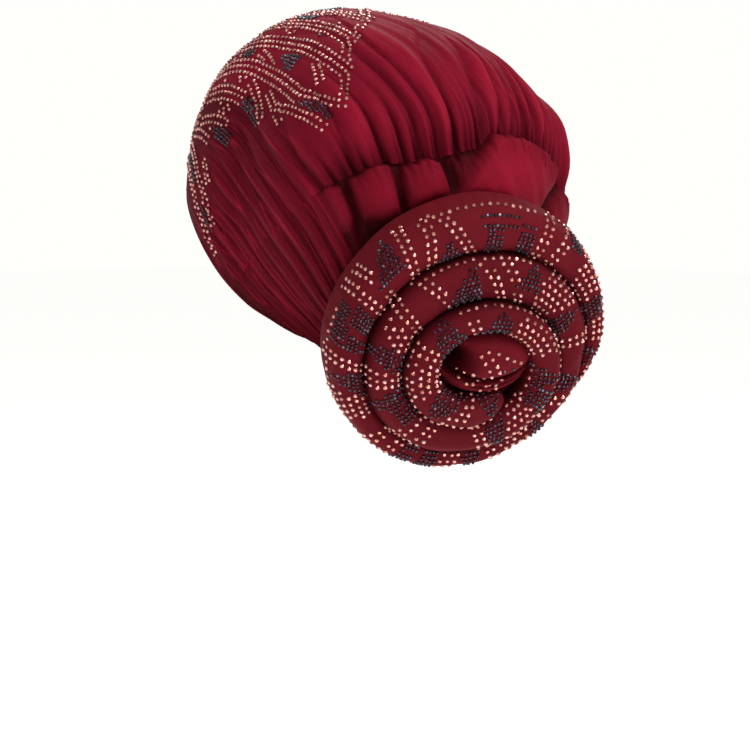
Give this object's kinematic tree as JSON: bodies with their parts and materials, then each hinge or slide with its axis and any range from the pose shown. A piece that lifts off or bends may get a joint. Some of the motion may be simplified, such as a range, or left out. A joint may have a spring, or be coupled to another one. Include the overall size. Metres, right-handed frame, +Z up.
{
  "type": "turban cap",
  "caption": "Pull-on turban cap of stretch satin with a pleated crown, puffed gathered back, loose flounce and a large padded spiral rosette at the nape.",
  "frame": {"origin": "on the head's axis at brow level, where the cap sits on the head", "axes": "+Z up out of the crown, -Y the face side, +Y the back with the rosette, +X the wearer's left"},
  "size_m": [0.1966, 0.2746, 0.2549],
  "materials": {
    "crown_satin": "soft satin",
    "flounce_satin": "soft satin",
    "roll_satin": "soft satin with small crystals",
    "knot_satin": "soft satin with small crystals"
  },
  "bodies": {
    "root": {"crown": "crown_satin", "back_flounce": "flounce_satin", "rosette_roll": "roll_satin", "rosette_knot": "knot_satin"}
  },
  "joints": []
}
